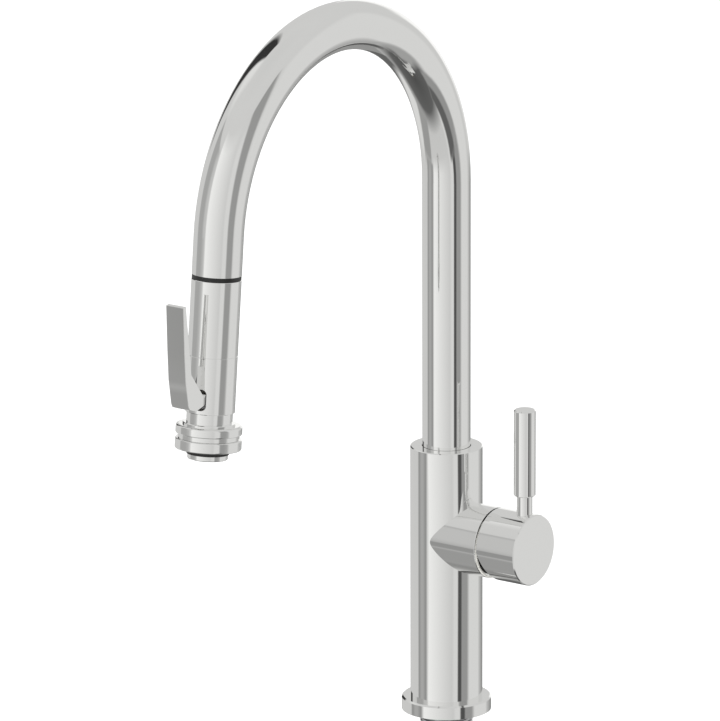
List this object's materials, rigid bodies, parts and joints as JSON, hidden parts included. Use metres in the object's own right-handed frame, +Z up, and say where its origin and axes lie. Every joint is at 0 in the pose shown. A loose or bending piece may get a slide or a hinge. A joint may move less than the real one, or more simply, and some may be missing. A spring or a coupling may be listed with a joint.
{
  "type": "pull-down kitchen faucet",
  "caption": "High-arc kitchen faucet with a swivelling spout, pull-down spray head with squeeze lever, and a side lever valve.",
  "frame": {"origin": "centre of the base flange's underside, on the deck", "axes": "+Z up along the column, spout towards -Y, mixing valve and lever on +X"},
  "size_m": [0.0977, 0.3041, 0.5755],
  "materials": {
    "chrome": "polished chrome plate",
    "brass": "machined brass",
    "steel": "plain stainless steel",
    "rubber": "black moulded rubber",
    "black_plastic": "black moulded plastic",
    "nylon": "natural moulded plastic",
    "grey_plastic": "grey moulded plastic",
    "ceramic": "lapped white ceramic",
    "hose": "braided nylon over a plastic hose"
  },
  "bodies": {
    "faucet_base": {"base_flange": "chrome", "deck_gasket": "rubber", "shank_adapter": "brass", "threaded_shank": "brass", "rubber_washer": "rubber", "steel_washer": "steel", "mounting_nut": "brass", "clamp_screws": "steel", "column_body": "chrome", "hot_inlet_tube": "steel", "cold_inlet_tube": "steel", "mixed_outlet_tube": "steel", "hot_inlet_nipple": "brass", "cold_inlet_nipple": "brass", "mixed_outlet_nipple": "brass", "spout_bush_upper": "nylon", "spout_bush_lower": "nylon", "spout_seal": "rubber", "valve_gasket": "rubber", "fixed_disc": "ceramic", "cartridge_housing": "nylon", "cartridge_nut": "brass", "seam_washer": "black_plastic"},
    "valve_carrier": {"stem_carrier": "nylon", "pivot_pin": "steel"},
    "mixing_disc": {"moving_disc": "ceramic", "disc_driver": "nylon"},
    "handle": {"valve_stem": "brass", "handle_cap": "chrome", "lever_stem": "chrome", "lever_rod": "chrome", "set_screw": "steel"},
    "spout": {"spout_tube": "chrome", "spout_retainer": "brass", "docking_guide": "black_plastic", "hose_nipple": "brass"},
    "hose_end": {"spray_hose": "hose", "hose_ferrule": "steel"},
    "spray_head": {"hose_coupling": "brass", "coupling_seal": "rubber", "docking_spigot": "black_plastic", "head_shell_upper": "chrome", "head_shell_lower": "chrome", "waterway_core": "nylon", "check_valve": "black_plastic", "valve_block": "nylon", "head_neck": "chrome", "upper_ring": "chrome", "lever_pin": "steel", "return_spring": "steel"},
    "spray_nozzle": {"lower_ring": "chrome", "nozzle_seal": "rubber", "aerator": "chrome", "spray_plate": "grey_plastic"},
    "squeeze_lever": {"squeeze_lever": "chrome"},
    "valve_plunger": {"valve_plunger": "steel"}
  },
  "joints": [
    {"name": "spout_swivel", "type": "hinge", "parent": "faucet_base", "child": "spout", "pos_m": [0, 0, 0.152], "axis": [0, 0, 1], "continuous": true},
    {"name": "head_pull", "type": "slide", "parent": "spout", "child": "hose_end", "axis": [0, -0.0941, -0.9956], "range_m": [0, 0.45], "deforming": ["spray_hose"]},
    {"name": "head_turn", "type": "hinge", "parent": "hose_end", "child": "spray_head", "pos_m": [0, -0.23484, 0.32608], "axis": [0, -0.0941, -0.9956], "continuous": true},
    {"name": "lever_squeeze", "type": "hinge", "parent": "spray_head", "child": "squeeze_lever", "pos_m": [0, -0.25306, 0.25548], "axis": [-1, 0, 0], "range_deg": [0, 20], "stiffness_Nm_per_rad": 1.2, "springref_deg": -8.59},
    {"name": "plunger_stroke", "type": "slide", "parent": "spray_head", "child": "valve_plunger", "axis": [0, -0.0941, -0.9956], "range_m": [0, 0.0025], "deforming": ["return_spring"]},
    {"name": "spray_ring_turn", "type": "hinge", "parent": "spray_head", "child": "spray_nozzle", "pos_m": [0, -0.24462, 0.22254], "axis": [0, -0.0941, -0.9956], "range_deg": [0, 90]},
    {"name": "handle_turn", "type": "hinge", "parent": "faucet_base", "child": "valve_carrier", "pos_m": [0.036, 0, 0.113], "axis": [1, 0, 0], "range_deg": [-45, 45]},
    {"name": "handle_lift", "type": "hinge", "parent": "valve_carrier", "child": "handle", "pos_m": [0.036, 0, 0.113], "axis": [0, 1, 0], "range_deg": [0, 20]},
    {"name": "disc_slide", "type": "slide", "parent": "valve_carrier", "child": "mixing_disc", "axis": [0, 0, 1], "range_m": [0, 0.0039]}
  ],
  "couplings": [
    {"joint": "plunger_stroke", "follows": "lever_squeeze", "m_per_rad": 0.007},
    {"joint": "disc_slide", "follows": "handle_lift", "m_per_rad": 0.011}
  ]
}
